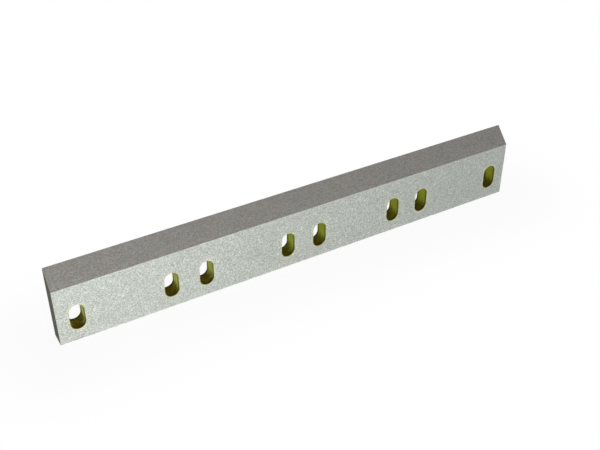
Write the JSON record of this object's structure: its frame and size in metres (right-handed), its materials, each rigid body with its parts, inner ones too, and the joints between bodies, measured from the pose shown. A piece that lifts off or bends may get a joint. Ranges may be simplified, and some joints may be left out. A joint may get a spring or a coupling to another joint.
{
  "type": "rotor knife",
  "caption": "Long flat tool-steel knife for a granulator rotor, with one bevelled cutting edge along its whole length and upright bolt slots for resetting it.",
  "frame": {"origin": "the middle of the heel, the narrow face opposite the cutting edge", "axes": "+X along the knife, +Y through its thickness from the seat to the rake face, +Z from the heel up to the cutting edge"},
  "size_m": [0.62, 0.02, 0.095],
  "materials": {
    "tool_steel": "surface ground, fine matt sparkling grain, slots left dark and oily"
  },
  "bodies": {
    "root": {"rotor_knife": "tool_steel"}
  },
  "joints": []
}
